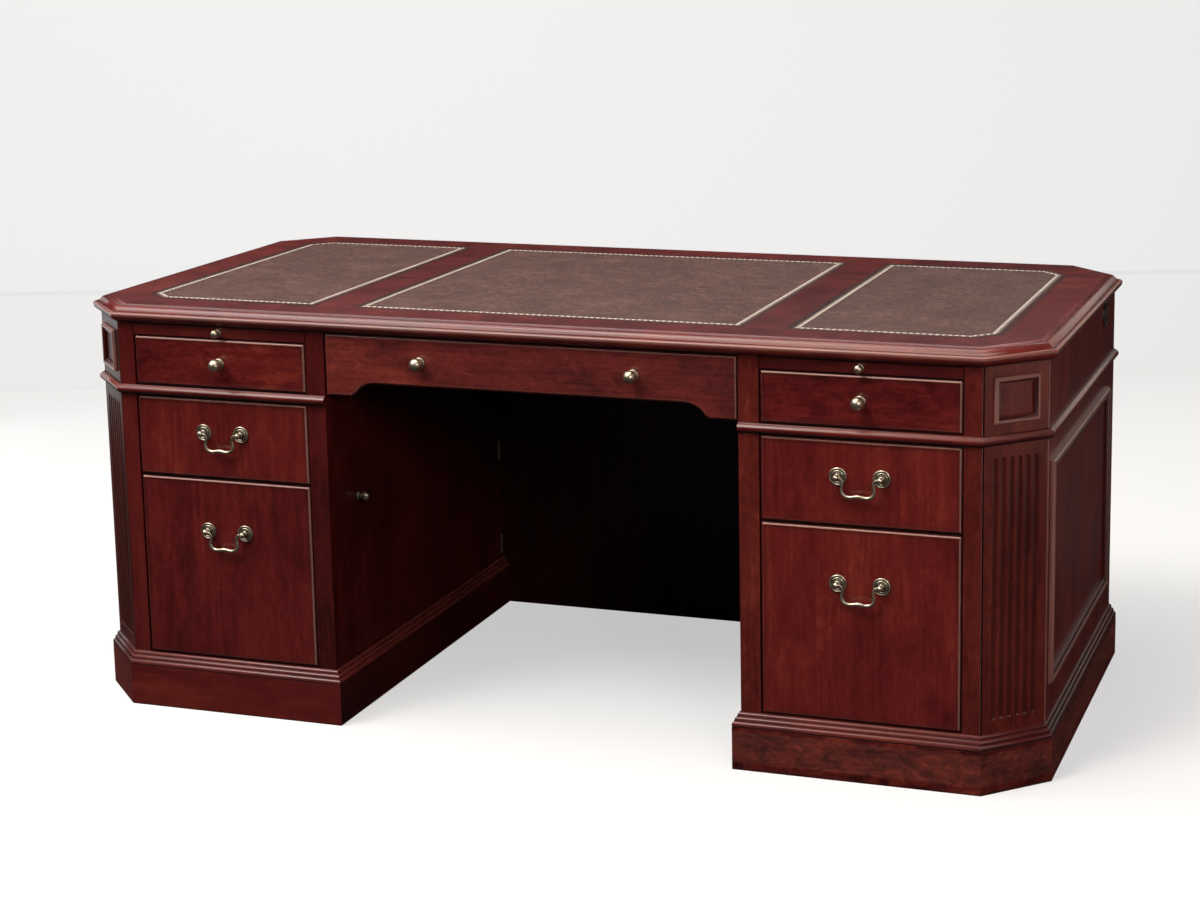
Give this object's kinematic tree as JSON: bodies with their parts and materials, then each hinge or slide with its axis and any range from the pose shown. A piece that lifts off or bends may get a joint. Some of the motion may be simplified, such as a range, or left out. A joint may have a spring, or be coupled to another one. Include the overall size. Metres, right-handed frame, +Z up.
{
  "type": "partners desk",
  "caption": "Canted mahogany pedestal desk with tooled leather insets, shaped centre drawer, bail pulls, writing slides and a kneehole cupboard door.",
  "frame": {"origin": "on the floor at the middle of the desk's case and top, which is the bottom centre of the bounding box but for the 13 mm that the knobs stand in front of the top's nose", "axes": "+X along the width towards the right pedestal, -Y towards the drawer side, +Z up"},
  "size_m": [1.829, 0.929, 0.762],
  "materials": {
    "mahogany": "deep red-brown satin lacquer with a darker glaze in the mouldings",
    "drawer_wood": "plain sanded wood, clear sealed",
    "leather": "brown aniline leather with gold tooling near its edges",
    "antique_brass": "antiqued, with darker hollows",
    "brown_plastic": "dark brown, satin"
  },
  "bodies": {
    "case": {"top_board": "mahogany", "top_moulding": "mahogany", "leather_right": "leather", "leather_left": "leather", "leather_centre": "leather", "end_panel_right": "mahogany", "end_panel_left": "mahogany", "front_frame_right": "mahogany", "front_frame_left": "mahogany", "knee_panel_right": "mahogany", "knee_panel_left": "mahogany", "plinth_right": "mahogany", "plinth_left": "mahogany", "plinth_moulding_right": "mahogany", "plinth_moulding_left": "mahogany", "front_post_right": "mahogany", "front_post_left": "mahogany", "rear_posts": "mahogany", "back_panels": "mahogany", "back_apron": "mahogany", "modesty_panel": "mahogany", "waist_moulding": "mahogany", "inner_boards": "drawer_wood", "corner_mouldings": "mahogany", "panel_mouldings": "mahogany", "wire_caps": "brown_plastic", "runners": "drawer_wood", "hinge_plates": "antique_brass"},
    "right_writing_slide": {"writing_slide_right": "mahogany", "right_slide_knob": "antique_brass"},
    "right_box_drawer": {"right_box_drawer_front": "mahogany", "right_box_drawer_box": "drawer_wood", "right_box_knob": "antique_brass"},
    "right_middle_drawer": {"right_middle_drawer_front": "mahogany", "right_middle_drawer_box": "drawer_wood", "right_middle_bail_posts": "antique_brass"},
    "right_middle_bail_handle": {"right_middle_bail": "antique_brass"},
    "right_file_drawer": {"right_file_drawer_front": "mahogany", "right_file_drawer_box": "drawer_wood", "right_file_bail_posts": "antique_brass"},
    "right_file_bail_handle": {"right_file_bail": "antique_brass"},
    "left_writing_slide": {"writing_slide_left": "mahogany", "left_slide_knob": "antique_brass"},
    "left_box_drawer": {"left_box_drawer_front": "mahogany", "left_box_drawer_box": "drawer_wood", "left_box_knob": "antique_brass"},
    "left_middle_drawer": {"left_middle_drawer_front": "mahogany", "left_middle_drawer_box": "drawer_wood", "left_middle_bail_posts": "antique_brass"},
    "left_middle_bail_handle": {"left_middle_bail": "antique_brass"},
    "left_file_drawer": {"left_file_drawer_front": "mahogany", "left_file_drawer_box": "drawer_wood", "left_file_bail_posts": "antique_brass"},
    "left_file_bail_handle": {"left_file_bail": "antique_brass"},
    "centre_drawer": {"centre_drawer_front": "mahogany", "centre_drawer_box": "drawer_wood", "centre_knobs": "antique_brass"},
    "kneehole_door": {"knee_door": "mahogany", "door_hinges": "antique_brass", "door_knob": "antique_brass"}
  },
  "joints": [
    {"name": "right_writing_slide_travel", "type": "slide", "parent": "case", "child": "right_writing_slide", "axis": [0, -1, 0], "range_m": [0, 0.3]},
    {"name": "right_box_drawer_travel", "type": "slide", "parent": "case", "child": "right_box_drawer", "axis": [0, -1, 0], "range_m": [0, 0.33]},
    {"name": "right_middle_drawer_travel", "type": "slide", "parent": "case", "child": "right_middle_drawer", "axis": [0, -1, 0], "range_m": [0, 0.48]},
    {"name": "right_middle_bail_swing", "type": "hinge", "parent": "right_middle_drawer", "child": "right_middle_bail_handle", "pos_m": [0.6, -0.457, 0.533], "axis": [-1, 0, 0], "range_deg": [0, 85]},
    {"name": "right_file_drawer_travel", "type": "slide", "parent": "case", "child": "right_file_drawer", "axis": [0, -1, 0], "range_m": [0, 0.5]},
    {"name": "right_file_bail_swing", "type": "hinge", "parent": "right_file_drawer", "child": "right_file_bail_handle", "pos_m": [0.6, -0.457, 0.347], "axis": [-1, 0, 0], "range_deg": [0, 85]},
    {"name": "left_writing_slide_travel", "type": "slide", "parent": "case", "child": "left_writing_slide", "axis": [0, -1, 0], "range_m": [0, 0.3]},
    {"name": "left_box_drawer_travel", "type": "slide", "parent": "case", "child": "left_box_drawer", "axis": [0, -1, 0], "range_m": [0, 0.33]},
    {"name": "left_middle_drawer_travel", "type": "slide", "parent": "case", "child": "left_middle_drawer", "axis": [0, -1, 0], "range_m": [0, 0.24]},
    {"name": "left_middle_bail_swing", "type": "hinge", "parent": "left_middle_drawer", "child": "left_middle_bail_handle", "pos_m": [-0.6, -0.457, 0.533], "axis": [-1, 0, 0], "range_deg": [0, 85]},
    {"name": "left_file_drawer_travel", "type": "slide", "parent": "case", "child": "left_file_drawer", "axis": [0, -1, 0], "range_m": [0, 0.25]},
    {"name": "left_file_bail_swing", "type": "hinge", "parent": "left_file_drawer", "child": "left_file_bail_handle", "pos_m": [-0.6, -0.457, 0.347], "axis": [-1, 0, 0], "range_deg": [0, 85]},
    {"name": "centre_drawer_travel", "type": "slide", "parent": "case", "child": "centre_drawer", "axis": [0, -1, 0], "range_m": [0, 0.3]},
    {"name": "kneehole_door_swing", "type": "hinge", "parent": "case", "child": "kneehole_door", "pos_m": [-0.3845, 0.32075, 0.336], "axis": [0, 0, 1], "range_deg": [0, 85]}
  ]
}
